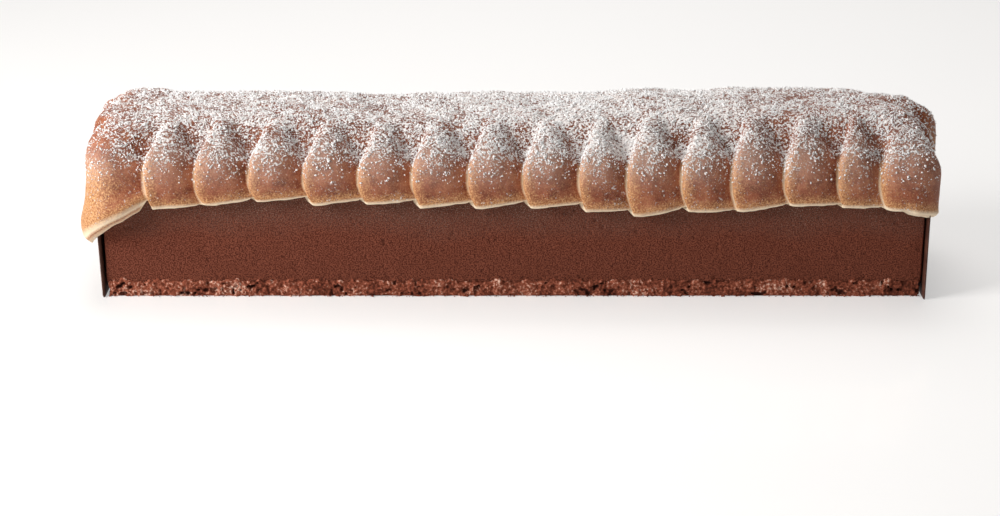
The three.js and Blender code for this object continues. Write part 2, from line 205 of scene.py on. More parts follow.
def add(tree, kind, inputs=None, stops=(), **settings):
    """A node of a kind with its settings. Each of its inputs takes a value, or the first output of another
    node. A colour ramp's stops are places with their colours, its two ends first and then the rest."""
    node = tree.nodes.new("ShaderNode" + kind)
    for key, value in settings.items():
        setattr(node, key, value)
    for number, (at, code) in enumerate(stops):
        elements = node.color_ramp.elements
        stop = elements[number] if number < 2 else elements.new(at)
        stop.position = at
        stop.color = tint(code)
    for key, value in (inputs or {}).items():
        if isinstance(value, bpy.types.Node):
            value = value.outputs[0]
        if isinstance(value, bpy.types.NodeSocket):
            tree.links.new(value, node.inputs[key])
        else:
            node.inputs[key].default_value = value
    return node


def new_finish(name, **numbers):
    """A material with its shader alone: the numbers are set on the shader's own sockets."""
    material = bpy.data.materials.new(name)
    material.use_nodes = True
    tree = material.node_tree
    tree.nodes.clear()
    sockets = {key.replace("_", " "): value for key, value in numbers.items()}
    shader = add(tree, "BsdfPrincipled", sockets)
    add(tree, "OutputMaterial", {"Surface": shader})
    return material, tree, shader


# Dark chocolate sponge, sawn: cocoa-brown crumb, dry and wholly matt, painted dark in its holes as painted
# shade, and pale where torn.
# Its lumps are about 1.1 mm wide, in paler and darker patches of 9 mm, and it is painted a little paler at the
# left, as painted light from the key lamp there.
sponge_finish, tree, shader = new_finish(
    "sawn_chocolate_sponge", Roughness=0.95, IOR=1.4, Specular_IOR_Level=0.2
)
place = add(tree, "TexCoord").outputs["Object"]
lumps = add(tree, "TexNoise", {"Vector": place, "Scale": cells(1.111), "Detail": 3.0, "Roughness": 0.6})
patches = add(tree, "TexNoise", {"Vector": place, "Scale": cells(9.09), "Detail": 2.0})
uneven = add(tree, "Math", {0: patches, 1: 0.6, 2: lumps}, operation="MULTIPLY_ADD")
# Painted light: the crumb is a little paler at the left end, where the key lamp falls, and darker to the
# right.
along = add(tree, "SeparateXYZ", {0: place}).outputs["X"]
ends = {"From Min": -0.18, "From Max": 0.18, "To Min": 0.0, "To Max": -0.07}
painted_left_light = add(tree, "MapRange", {"Value": along, **ends})
pale = add(tree, "Math", {0: uneven, 1: painted_left_light}, operation="ADD")
crumb_stops = [(0.6, "#51271b"), (1.0, "#e4bda8"), (0.76, "#814330"), (0.87, "#a15f49")]
crumb = add(tree, "ValToRGB", {"Fac": pale}, stops=crumb_stops)
# Painted shade: the crumb is darkened in its holes, as shade in the hollows.
hole = add(tree, "Attribute", attribute_name="hole").outputs["Fac"]
painted_hole_shade = add(tree, "MixRGB", {0: hole, 1: crumb, 2: tint("#2c120d")})
tree.links.new(painted_hole_shade.outputs[0], shader.inputs["Base Color"])
bump = add(tree, "Bump", {"Height": lumps, "Strength": 0.7, "Distance": 0.0004})
tree.links.new(bump.outputs[0], shader.inputs["Normal"])


def sponge_base():
    """A wall of height z round a rounded rectangle, pushed out by three sizes of noise, and in by round holes
    and by the 6th power of the distance from mid-height, with a top and a foot that close on the middle. Its
    upper and lower edges wander up and down by noise."""
    around = way_round(*SPONGE_HALF, SPONGE_CORNER)
    columns = round(around / SPONGE_STEP)
    s = np.arange(columns) * around / columns
    flat, _, out = walk_round(s, *SPONGE_HALF, SPONGE_CORNER)
    level = np.linspace(1.0, 0.0, SPONGE_ROWS)[:, None]
    edge = at_height(flat, 0.0)
    top = SPONGE_TOP + 0.9 * grain(edge, 3.4, 11) + 0.5 * grain(edge, 1.3, 12)
    foot = SPONGE_FOOT + 0.35 * grain(edge, 2.6, 13) + 0.25 * grain(edge, 1.1, 14)
    wall = at_height(flat, foot + (top - foot) * level)
    torn = 0.35 * grain(wall, 3.1, 15) + 0.3 * grain(wall, 1.3, 16) + 0.2 * grain(wall, 0.8, 17)
    hole = ease(0.3, 0.6, grain(wall, HOLE_SIZE, 18)) * ease(-0.5, 0.5, grain(wall, HOLED_PATCH, 19))
    round_edge = 0.5 * np.abs(level * 2 - 1) ** 6
    push = np.clip(torn - SPONGE_SINK - HOLE_DEPTH * hole - round_edge, *SPONGE_PUSH)
    wall[..., :2] += out * push[..., None]
    wall[..., 2] = np.maximum(wall[..., 2], SPONGE_LOWEST)
    rows = capped(wall, flat, out, (SPONGE_TOP, SPONGE_TOP_INSET), (0.0, SPONGE_FOOT_INSET))
    holes = np.pad(hole, ((2, 2), (0, 0)))
    points = rows.reshape(-1, 3) + LOG_CENTRE
    faces = ring_faces(len(rows), columns)
    return merged(new_piece("sponge_open_crumb", points, faces, sponge_finish, {"hole": holes}))


sponge = sponge_base()
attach(sponge, "root")
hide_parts("sponge_base")

# ----------------------------------------------------------------------------------------------------------
# Loose crumbs: bits of the same sponge that the saw tore off, stuck along its cut sides and along its foot.
# Each is an icosahedron knocked out of shape, and all of them are one mesh.
# ----------------------------------------------------------------------------------------------------------
CRUMB_COUNT = 1100
CRUMB_RADII = (0.15, 0.55)
CRUMBS_AT_FOOT = 0.45
CRUMB_HEIGHTS = (0.6, SPONGE_TOP + 0.9)
CRUMB_SET_BACK = (-0.1, 0.9)
JITTER = 0.22
STRETCH = (0.7, 1.2)
GOLDEN = (1 + math.sqrt(5)) / 2


def random_turns(rng, count):
    """Rotation matrices of random unit quaternions: four normal draws for each, made to length one."""
    w, x, y, z = rng.normal(size=(4, count))
    length = np.sqrt(w * w + x * x + y * y + z * z)
    w, x, y, z = w / length, x / length, y / length, z / length
    rows = [
        [1 - 2 * (y * y + z * z), 2 * (x * y - w * z), 2 * (x * z + w * y)],
        [2 * (x * y + w * z), 1 - 2 * (x * x + z * z), 2 * (y * z - w * x)],
        [2 * (x * z - w * y), 2 * (y * z + w * x), 1 - 2 * (x * x + y * y)],
    ]
    return np.moveaxis(np.array(rows), -1, 0)


def scattered(corners, faces, centres, sizes, rng):
    """Copies of one small solid: each corner is pushed in or out at random, then scaled by three random
    sizes, turned at random and set on its centre. Gives all points and faces as two arrays."""
    count = len(centres)
    jitter = 1 + JITTER * rng.uniform(-1, 1, size=(count, len(corners), 1))
    solids = corners[None] * jitter * sizes[:, None, None] * rng.uniform(*STRETCH, size=(count, 1, 3))
    solids = np.einsum("nij,nkj->nki", random_turns(rng, count), solids) + centres[:, None]
    numbers = faces[None] + (np.arange(count) * len(corners))[:, None, None]
    return solids.reshape(-1, 3), numbers.reshape(-1, faces.shape[1])


def lump_shape():
    """The 12 corners of an icosahedron, all cyclic turns of (0, 1, golden ratio) with all signs, on a sphere
    of radius 1, and its 20 faces: the threes of corners that all lie one edge apart."""
    base = [(0, a, b * GOLDEN) for a in (-1, 1) for b in (-1, 1)]
    corners = np.array([tuple(np.roll(p, k)) for k in range(3) for p in base], dtype=float)
    corners /= np.linalg.norm(corners[0])
    gaps = np.linalg.norm(corners[:, None] - corners[None], axis=-1)
    near = (gaps > 0.1) & (gaps < 1.1)
    faces = []
    for a, b, c in itertools.combinations(range(len(corners)), 3):
        if near[a, b] and near[b, c] and near[a, c]:
            across = np.cross(corners[b] - corners[a], corners[c] - corners[a])
            faces.append((a, b, c) if np.dot(across, corners[a]) > 0 else (a, c, b))
    return corners, np.array(faces)


rng = np.random.default_rng(2)
s = rng.uniform(0, way_round(*SPONGE_HALF, SPONGE_CORNER), CRUMB_COUNT)
flat, _, out = walk_round(s, *SPONGE_HALF, SPONGE_CORNER)
sizes = CRUMB_RADII[0] + (CRUMB_RADII[1] - CRUMB_RADII[0]) * rng.uniform(0, 1, CRUMB_COUNT) ** 2.6
at_foot = rng.uniform(0, 1, CRUMB_COUNT) < CRUMBS_AT_FOOT
height = np.where(at_foot, sizes * 0.9, rng.uniform(*CRUMB_HEIGHTS, CRUMB_COUNT))
set_back = rng.uniform(*CRUMB_SET_BACK, CRUMB_COUNT)
centres = at_height(flat - out * set_back[:, None], height) + LOG_CENTRE
points, faces = scattered(*lump_shape(), centres, sizes, rng)
points[:, 2] = np.maximum(points[:, 2], 0.0)
crumbs = new_piece("sponge_crumbs", points, faces, sponge_finish)
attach(crumbs, "root")

# ----------------------------------------------------------------------------------------------------------
# The mousse: chocolate mousse set in a frame on the sponge, turned out and trimmed. Its side is matt and full
# of tiny burst bubbles, and a little greyer towards its top, under the topping.
# ----------------------------------------------------------------------------------------------------------
MOUSSE_HALF = (174.5, 37.0)
MOUSSE_TOP = 52.0
MOUSSE_FOOT = SPONGE_TOP - 0.6
MOUSSE_EDGE = 0.7
MOUSSE_TOP_INSET = 0.8 * MOUSSE_EDGE
MOUSSE_FOOT_INSET = 1.5
MOUSSE_STEP = 0.62
MOUSSE_ROWS = 72
MOUSSE_END_COLUMNS = 44
MOUSSE_SINK = 0.12
BUBBLE_SIZE = 1.5
BUBBLE_DEPTH = 0.45

# Chocolate mousse: airy, matt and even. The bubbles show as a fine dark and light stipple of about 0.6 mm, in
# clouds of 11 mm; near its top it is greyer, over 25 mm patches, with pale flecks of 0.5 mm.
mousse_finish, tree, shader = new_finish(
    "set_chocolate_mousse", Roughness=0.85, IOR=1.42, Specular_IOR_Level=0.2
)
place = add(tree, "TexCoord").outputs["Object"]
stipple = add(tree, "TexNoise", {"Vector": place, "Scale": cells(0.5714), "Detail": 2.0, "Roughness": 0.7})
clouds = add(tree, "TexNoise", {"Vector": place, "Scale": cells(11.11), "Detail": 3.0, "Roughness": 0.6})
body = add(tree, "ValToRGB", {"Fac": stipple}, stops=[(0.41, "#38140b"), (0.59, "#884b38")])
cloud_share = add(tree, "Math", {0: clouds, 1: 0.5}, operation="MULTIPLY")
cloudy = add(tree, "MixRGB", {0: cloud_share, 1: body, 2: tint("#63301f")})
upright = add(tree, "SeparateXYZ", {0: place}).outputs["Z"]
grey_edge = add(tree, "TexNoise", {"Vector": place, "Scale": cells(25.0), "Detail": 3.0})
grey_lift = add(tree, "Math", {0: grey_edge, 1: 0.016, 2: -0.008}, operation="MULTIPLY_ADD")
height = add(tree, "Math", {0: upright, 1: grey_lift}, operation="ADD")
grey = add(tree, "MapRange", {"Value": height, "From Min": 0.026, "From Max": 0.042, "To Max": 0.55})
greyer_near_top = add(tree, "MixRGB", {0: grey, 1: cloudy, 2: tint("#563d33")})
flecks = add(tree, "TexNoise", {"Vector": place, "Scale": cells(0.4762), "Detail": 1.0})
fleck_share = add(tree, "MapRange", {"Value": flecks, "From Min": 0.56, "From Max": 0.66, "To Max": 1.0})
fleck_zone = add(tree, "Math", {0: fleck_share, 1: grey}, operation="MULTIPLY")
flecked = add(tree, "MixRGB", {0: fleck_zone, 1: greyer_near_top, 2: tint("#a3877a")})
tree.links.new(flecked.outputs[0], shader.inputs["Base Color"])
bump = add(tree, "Bump", {"Height": stipple, "Strength": 0.45, "Distance": 0.0002})
tree.links.new(bump.outputs[0], shader.inputs["Normal"])


def mousse_bar():
    """A wall of height z round a rounded rectangle, with close-set columns on its long sides and wider ones
    on its ends. It is pushed out by three sizes of noise and in by burst bubbles, is rougher at its foot, and
    its top and foot close on the middle."""
    straight = 2 * (MOUSSE_HALF[0] - MOUSSE_EDGE)
    around = way_round(*MOUSSE_HALF, MOUSSE_EDGE)
    side = np.arange(0, straight, MOUSSE_STEP)
    end = np.linspace(straight, around / 2, MOUSSE_END_COLUMNS, endpoint=False)
    s = np.concatenate([side, end, side + around / 2, end + around / 2])
    flat, _, out = walk_round(s, *MOUSSE_HALF, MOUSSE_EDGE)
    z = np.linspace(MOUSSE_TOP - MOUSSE_EDGE, MOUSSE_FOOT, MOUSSE_ROWS)[:, None]
    wall = at_height(flat, z)
    rough_foot = 1 - ease(SPONGE_TOP, SPONGE_TOP + 2.5, z)
    push = 0.1 * grain(wall, 6.0, 31) + 0.07 * grain(wall, 1.7, 32) + 0.05 * grain(wall, 0.9, 33)
    push += 0.3 * rough_foot * grain(wall, 2.2, 34) - 0.1 * rough_foot - MOUSSE_SINK
    push -= BUBBLE_DEPTH * ease(0.55, 0.85, grain(wall, BUBBLE_SIZE, 35))
    wall[..., :2] += out * push[..., None]
    rows = capped(wall, flat, out, (MOUSSE_TOP, MOUSSE_TOP_INSET), (MOUSSE_FOOT, MOUSSE_FOOT_INSET))
    points = rows.reshape(-1, 3) + LOG_CENTRE
    return merged(new_piece("mousse_log", points, ring_faces(len(rows), len(s)), mousse_finish))


mousse = mousse_bar()
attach(mousse, "root")
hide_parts("mousse_bar")

# ----------------------------------------------------------------------------------------------------------
# The plaques: dark chocolate, tempered and spread thin on a sheet, cut to size and stood against each end.
# The set mousse holds them, the left one leaning a little outwards.
# ----------------------------------------------------------------------------------------------------------
PLAQUE_HEIGHT = 40.0
PLAQUES = {
    "left_plaque": {"outer": -176.3, "thickness": 1.4, "lean": -0.9, "front": -38.5, "back": 39.0},
    "right_plaque": {"outer": 175.9, "thickness": 1.1, "lean": 0.0, "front": -41.0, "back": 39.0},
}
PLAQUE_COLUMNS = 60
PLAQUE_ROWS = 32
PLAQUE_BEVEL = 0.35
PLAQUE_WAVE = 0.04
PLAQUE_WAVE_ROOM = 0.05
EDGE_WAVE = 0.25
# Rows of the rounded top, as depth under it and share of the full thickness, and of the foot, as height.
PLAQUE_TOP_ROWS = [(0.0, 0.0), (0.0, 0.6), (0.25, 0.9), (0.5, 1.0)]
PLAQUE_FOOT_ROWS = [(0.25, 1.0), (0.0, 0.7), (0.0, 0.0)]

# Tempered dark chocolate: nearly black brown with a satin gloss, faintly streaked by the spreading knife. The
# streaks are 4 mm wide and six times as long, along the depth.
plaque_finish, tree, shader = new_finish(
    "tempered_dark_chocolate", Roughness=0.45, IOR=1.46, Specular_IOR_Level=0.2
)
place = add(tree, "TexCoord").outputs["Object"]
drawn = add(tree, "Mapping", {"Vector": place, "Scale": (1.0, 0.16, 1.0)})
streaks = add(tree, "TexNoise", {"Vector": drawn, "Scale": cells(3.846), "Detail": 4.0})
shade = add(tree, "ValToRGB", {"Fac": streaks}, stops=[(0.3, "#3a1f18"), (0.75, "#5d3a2d")])
tree.links.new(shade.outputs[0], shader.inputs["Base Color"])
dull = add(tree, "MapRange", {"Value": streaks, "To Min": 0.42, "To Max": 0.6})
tree.links.new(dull.outputs[0], shader.inputs["Roughness"])
bump = add(tree, "Bump", {"Height": streaks, "Strength": 0.25, "Distance": 0.0002})
tree.links.new(bump.outputs[0], shader.inputs["Normal"])


def plaque(outer, thickness, lean, front, back):
    """A thin upright sheet. Its level section runs along one face and back along the other, with edges whose
    half thickness is the circle sqrt(1 - (1 - b)^2) of the share b of the bevel. It is carried down in rows,
    leans outwards with height, and is waved a little by noise. The section runs the other way round at the
    right end, so its faces are turned there."""
    side = math.copysign(1.0, outer)
    one_face = np.linspace(-1, 1, PLAQUE_COLUMNS)
    across = np.concatenate([one_face, one_face[-2:0:-1]])
    face = np.concatenate([np.ones(PLAQUE_COLUMNS), -np.ones(PLAQUE_COLUMNS - 2)])
    half = (back - front) / 2
    bevel = np.clip((1 - np.abs(across)) * half / PLAQUE_BEVEL, 0, 1)
    fat = face * np.sqrt(1 - (1 - bevel) ** 2)
    y = (front + back) / 2 + half * across
    y = np.clip(y + EDGE_WAVE * grain(np.stack([0 * y, 0 * y, y], axis=-1), 9.0, 41), front, back)
    top_rows = np.array(PLAQUE_TOP_ROWS)
    foot_rows = np.array(PLAQUE_FOOT_ROWS)
    upright = np.linspace(PLAQUE_HEIGHT - 1, 1, PLAQUE_ROWS)
    z = np.concatenate([PLAQUE_HEIGHT - top_rows[:, 0], upright, foot_rows[:, 0]])[:, None]
    thick = np.concatenate([top_rows[:, 1], np.ones(PLAQUE_ROWS), foot_rows[:, 1]])[:, None]
    grid = at_height(np.stack([0 * y, y], axis=-1), z)
    wave = PLAQUE_WAVE * grain(grid, 14.0, 42)
    core = outer - side * thickness / 2 + lean * z / PLAQUE_HEIGHT
    grid[..., 0] = core + (thickness / 2 - PLAQUE_WAVE_ROOM) * side * fat * thick + wave
    faces = ring_faces(*grid.shape[:2])
    if side > 0:
        faces = faces[:, ::-1]
    return grid.reshape(-1, 3) + LOG_CENTRE, faces


for name, sizes in PLAQUES.items():
    sheet = new_piece(name + "_sheet", *plaque(**sizes), plaque_finish)
    merged(sheet, reach=2e-5, turn_out=True)
    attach(sheet, "root")
    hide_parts(name)

# ----------------------------------------------------------------------------------------------------------
# The topping: a stiff egg-white batter, piped from a wide flat nozzle in overlapping lobes from the ridge
# down each side, then browned in the oven. It is gold on its thin edges, red-brown on its swells and cream
# beneath. Painted light lies on the left edges of its lobes and on its crests, and painted shade on flanks
# that face right and between its sugar grains.
# ----------------------------------------------------------------------------------------------------------
TOPPING_HALF = (181.5, 45.0)
TOPPING_CORNER = 15.0
SPINE_HALF_LENGTH = 154.0
SPINE_Y = 2.0
WIDEST_Z = 53.0
SPINE_Z = 75.6
SIDE_START = -155.0
SPINE_SHIFT = -SIDE_START - SPINE_HALF_LENGTH
END_LOBE_WIDTH = 22.0
FRONT_REACH = 0.4
RIM_CREASE = 2.6
WALL_CREASE = 4.6
SHOULDER_CREASE = 7.6
LIP_OVERLAP = 1.4
LIP_ENDS = (0.87, 0.96)
THIN_LIP_FALL = 0.6
RIDGE_LEAN = 12.8
RIM_SWING = 2.6
BACK_LEAN_SHARE = 0.3
HOLLOW_WIDTH = 12.8
CREST = 0.2
CLIMB_START = 0.16
LOBE_COLUMNS = 36
COLUMN_CROWDING = 1.35
DOME_STEPS = 54
WALL_STEPS = 11
FINE_ANGLES = 4000

# The lobes of one long side: width, height of the rim at its low corner and where the next lobe covers it,
# how far the ridge line lies over or under its mean height, and the power with which the rim climbs.
SIDE_LOBES = [
    (21, 42.3, 42.9, 0, 1),
    (22.5, 43.2, 46, 0, 0.6),
    (23, 44.8, 46.6, 0, 0.4),
    (23, 43.4, 45.8, -0.6, 0.35),
    (22.5, 43.9, 45.4, -1.6, 0.25),
    (23.5, 42.4, 44.6, -0.6, 0.3),
    (23, 42, 44.8, 0, 0.5),
    (23.5, 42.2, 44, -0.7, 0.35),
    (20, 40.6, 40.9, -0.5, 1),
    (23, 38.4, 42.2, 1.3, 1),
    (21, 40.4, 40.8, 0.6, 1),
    (22, 40.8, 43.4, 1.9, 0.9),
    (22.5, 43.2, 43.6, 1.8, 0.5),
    (17.5, 42.6, 42.4, 1.3, 0.6),
]
# The four lobes of the right end, then the four of the left end, each where it differs from a plain lobe.
AFTER_FRONT = [
    {
        "low": 41.5, "high": 33, "ease": 1.4, "bulge": 0.6, "flare": -0.5, "lip": 2.5,
        "slump": 4, "crease": 0.8, "power": 2.4,
    },
    {"low": 33, "high": 37, "bulge": -2, "slump": 4, "crease": 0.35, "power": 4},
    {"low": 36, "high": 38, "bulge": 4, "slump": 10, "crease": 0.5, "power": 8},
    {"low": 38, "high": 44, "bulge": 3.5, "slump": 20, "crease": 0.6, "power": 5},
]
AFTER_BACK = [
    {
        "low": 41.5, "high": 34, "ease": 1.3, "bulge": -0.1, "flare": 0.8, "slump": 2.2,
        "crease": 0.3, "power": 5.5,
    },
    {"low": 30, "high": 28, "flare": 1, "slump": 1, "crease": 0.3, "power": 6.5},
    {"low": 27, "high": 26, "bulge": -0.2, "flare": 4.2, "curl": 1.5, "crease": 0.35, "power": 5.5},
    {
        "low": 28, "high": 46.2, "ease": 0.38, "corner": 0.24, "bulge": 0, "flare": 5.7, "curl": 3.2,
        "slump": 3, "lip": 4.2, "lip_from": 0.02, "lip_to": 0.2, "power": 3.8,
    },
]
# A plain lobe: how much its ridge line rises, the power of its rim's climb, the share of its width where the
# rim falls first, how far it bulges, slumps at its shoulder, flares at its rim and curls in again, the power
# of its section, its share of the creases' depth, the depth of its pale edge and where that deepens, how far
# out from the ridge its creases start, as a share, and whether it is on a long side.
PLAIN_LOBE = {
    "rise": 0, "ease": 0.55, "corner": 0.1, "bulge": 0, "slump": 0, "flare": -2, "curl": 0,
    "power": 2.8, "crease": 1, "lip": 1.2, "lip_from": 0.1, "lip_to": 0.35, "reach": 0.62, "side": 0,
}


def lobes_around():
    """The lobes in order round the topping, as arrays: front side, right end, back side, left end. The back
    is the front turned half round, and the end lobes share out what the straight sides leave."""
    straight = 2 * (TOPPING_HALF[0] - TOPPING_CORNER)
    end_straight = 2 * (TOPPING_HALF[1] - TOPPING_CORNER)
    arc = math.pi / 2 * TOPPING_CORNER
    before = SIDE_START + TOPPING_HALF[0] - TOPPING_CORNER
    side_keys = ("width", "low", "high", "rise", "ease")
    side = [{**dict(zip(side_keys, lobe)), "side": 1} for lobe in SIDE_LOBES]
    after = straight - before - sum(lobe["width"] for lobe in side)
    rest = (end_straight - 2 * END_LOBE_WIDTH) / 2
    widths = [after + arc + rest, END_LOBE_WIDTH, END_LOBE_WIDTH, rest + arc + before]
    rises = [lobe["rise"] for lobe in side]
    lobes = [{**lobe, "reach": FRONT_REACH} for lobe in side]
    lobes += [{**lobe, "width": width, "rise": rises[-1]} for lobe, width in zip(AFTER_FRONT, widths)]
    lobes += [{**lobe, "rise": rise} for lobe, rise in zip(side, rises[::-1])]
    lobes += [{**lobe, "width": width, "rise": rises[0]} for lobe, width in zip(AFTER_BACK, widths)]
    full = [{**PLAIN_LOBE, **lobe} for lobe in lobes]
    table = {key: np.array([lobe[key] for lobe in full], float) for key in full[0]}
    table["start"] = before + np.concatenate([[0.0], np.cumsum(table["width"])[:-1]])
    return table


def soft_power(share, power):
    """A share to a power, with a rounded start: (share^2 + k^2)^(p/2) - k^p, over its value at 1."""
    start = CLIMB_START**power
    risen = (share**2 + CLIMB_START**2) ** (power / 2) - start
    return risen / ((1 + CLIMB_START**2) ** (power / 2) - start)


def topping_columns():
    """Everything about the topping's columns that doesn't change with height, as arrays round the outline."""
    lobes = lobes_around()
    count = len(lobes["width"])
    share = (np.arange(LOBE_COLUMNS) / LOBE_COLUMNS) ** COLUMN_CROWDING
    lobe = np.repeat(np.arange(count), LOBE_COLUMNS)
    t = np.tile(share, count)
    own = {key: value[lobe] for key, value in lobes.items()}
    before = {key: value[lobe - 1] for key, value in lobes.items()}
    after = {key: value[(lobe + 1) % count] for key, value in lobes.items()}
    flat, along, out = walk_round(own["start"] + t * own["width"], *TOPPING_HALF, TOPPING_CORNER)
    x, y = flat.T
    on_side = (own["side"] > 0) | ((t == 0) & (before["side"] > 0))
    spine_x = np.where(on_side, x - np.sign(y) * SPINE_SHIFT, np.sign(x) * SPINE_HALF_LENGTH)

    def mixed(key):
        from_before = before[key] + (own[key] - before[key]) * ease(-0.3, 0.3, t)
        return from_before + (after[key] - from_before) * ease(0.7, 1.3, t)

    corner = own["corner"]
    across = np.where(t < corner, t / corner, (t - corner) / (1 - corner))
    fall = before["high"] + (own["low"] - before["high"]) * np.sin(across * math.pi / 2)
    climb = own["low"] + (own["high"] - own["low"]) * soft_power(across, own["ease"])
    frontness = ease(TOPPING_HALF[1] - TOPPING_CORNER, TOPPING_HALF[1], -y)
    lip_share = ease(own["lip_from"], own["lip_to"], t) * (1 - ease(*LIP_ENDS, t))
    thin_lip = PLAIN_LOBE["lip"] * (1 - THIN_LIP_FALL * t)
    mixed_keys = ("rise", "flare", "curl", "crease", "bulge", "slump", "reach", "power")
    made = {key: mixed(key) for key in mixed_keys}
    made.update(
        x=x, y=y, along=along, out=out, t=t, width=own["width"], spine_x=spine_x,
        rim=np.where(t < corner, fall, climb),
        lean=BACK_LEAN_SHARE + (1 - BACK_LEAN_SHARE) * frontness,
        ridge=1 - HOLLOW_WIDTH / own["width"],
        lip=thin_lip + (own["lip"] - thin_lip) * lip_share,
        top=SPINE_Z + made["rise"],
    )
    # The back takes its ridge line from the front, in reverse, so that both halves meet on the same points.
    last = len(SIDE_LOBES) * LOBE_COLUMNS
    half = len(t) // 2
    for key in ("spine_x", "top"):
        made[key][half : half + last + 1] = made[key][: last + 1][::-1]
    return made


def lobe_profile(t, radius, ridge):
    """1 on the crest and 0 in the creases: 1 - (1 - t / crest)^2.6 up to the crest, then 1 - u^p, where u
    runs from the crest to the next lobe. On top u runs only to the edge of the ridge, and p falls from 2.6
    to 1.7."""
    up = 1 - ease(0.55, 0.97, radius)
    end = ridge + (1 - ridge) * np.clip((radius - 0.5) / 0.48, 0, 1)
    over = np.clip((t - CREST) / (end - CREST), 0, 1)
    return np.where(t < CREST, 1 - np.clip(1 - t / CREST, 0, 1) ** 2.6, 1 - over ** (2.6 - 0.9 * up))


def skin(column, angle, drop):
    """The topping's skin on rows of angle, a right angle on the ridge line and 0 at the widest level, and of
    drop, 0 there and 1 at the rim. Out and up are a superellipse, cos^(2/p) and sin^(2/p). The profile then
    sinks the creases along its normal, the lean carries the ridges along the log, and the lip laps over the
    lobe before. Gives the points, both shares of the superellipse and the profile."""
    angle, drop = angle[:, None], drop[:, None]
    power = column["power"]
    radius = np.clip(np.cos(angle), 0, 1) ** (2 / power)
    height = np.sin(angle) ** (2 / power)
    dome = column["top"] - WIDEST_Z
    steep_out = radius ** (power - 1) / TOPPING_HALF[1]
    steep_up = height ** (power - 1) / dome
    steep = np.hypot(steep_out, steep_up)
    wall = WALL_CREASE + (RIM_CREASE - WALL_CREASE) * drop
    deep = wall + (SHOULDER_CREASE - wall) * ease(0, 0.6, height)
    crease = column["crease"] * deep * ease(column["reach"], 0.6 + 0.6 * column["reach"], radius)
    profile = lobe_profile(column["t"], radius, column["ridge"])
    push = column["bulge"] * ease(0, 1, radius) + column["flare"] * drop**1.6 - column["curl"] * drop**6
    push = push - crease * (1 - profile)
    lip = LIP_OVERLAP * np.sin(math.pi * np.minimum(1, column["t"] / CREST)) * (1 - ease(0.35, 0.75, height))
    lean = (RIDGE_LEAN - SPINE_SHIFT) * (1 - radius) * ease(0.06, 0.46, radius) * column["lean"]
    travel = lean + RIM_SWING * drop**2 - lip
    outward = push * steep_out / steep
    grid = np.empty((*radius.shape, 3))
    for axis, start, end in ((0, column["spine_x"], column["x"]), (1, SPINE_Y, column["y"])):
        grid[..., axis] = start + (end - start) * radius
        grid[..., axis] += column["along"][:, axis] * travel + column["out"][:, axis] * outward
    fall = drop * (WIDEST_Z - column["rim"])
    rise = height * (dome - column["slump"] * radius**2)
    grid[..., 2] = WIDEST_Z + rise - fall + push * steep_up / steep
    return grid, radius, height, profile


def even_angles(count):
    """Angles from a right angle to 0 that cut the dome's section into equal lengths."""
    fine = np.linspace(math.pi / 2, 0, FINE_ANGLES)
    share = 2 / PLAIN_LOBE["power"]
    out = TOPPING_HALF[1] * np.clip(np.cos(fine), 0, 1) ** share
    up = (SPINE_Z - WIDEST_Z) * np.sin(fine) ** share
    length = np.concatenate([[0], np.cumsum(np.hypot(np.diff(out), np.diff(up)))])
    return np.interp(np.linspace(0, length[-1], count), length, fine)


def outward_normals(grid):
    """Unit normals of a grid of rows running down and columns anticlockwise: the cross product of the steps
    between a point's neighbours, with straight up along the first row."""
    down = np.gradient(grid, axis=0)
    beside = np.roll(grid, -1, axis=1) - np.roll(grid, 1, axis=1)
    normal = np.cross(down, beside)
    normal /= np.maximum(np.linalg.norm(normal, axis=-1, keepdims=True), 1e-9)
    normal[0] = [0, 0, 1]
    return normal


column = topping_columns()
angles = np.concatenate([even_angles(DOME_STEPS), np.zeros(WALL_STEPS)])
drops = np.concatenate([np.zeros(DOME_STEPS), np.linspace(0, 1, WALL_STEPS + 1)[1:]])
shell, radius, height, profile = skin(column, angles, drops)
facing = outward_normals(shell)
relief = 0.32 * grain(shell, 8.0, 51) + 0.16 * grain(shell, 3.2, 52) + 0.08 * grain(shell, 1.5, 53) - 0.3
shell = shell + facing * relief[..., None]

# Under the rim the batter rounds inwards: a pale lip, a flat underside and the walls and roof of its room.
LIP_SHARES = (0.3, 0.6, 0.85, 1.0)
LIP_INSET = 0.6
LIP_INSET_SHARE = 0.62
DEEP_LIP = (2.0, 3.6)
ROOM_TOP = 52.3
ROOM_WALL = 1.0
ROOM_FOOT = 42.0
ROOM_FOOT_SHARE = 0.12
ROOM_FOOT_HIGHEST = 46.0
LEFT_ROOM = 178.0
RIGHT_ROOM = 176.5
SIDE_ROOM = 37.4
END_SIDE_ROOM = 39.4
RIGHT_FRONT_ROOM = 41.4
END_START = SPINE_HALF_LENGTH + 3
NO_CROSSING = 9.0


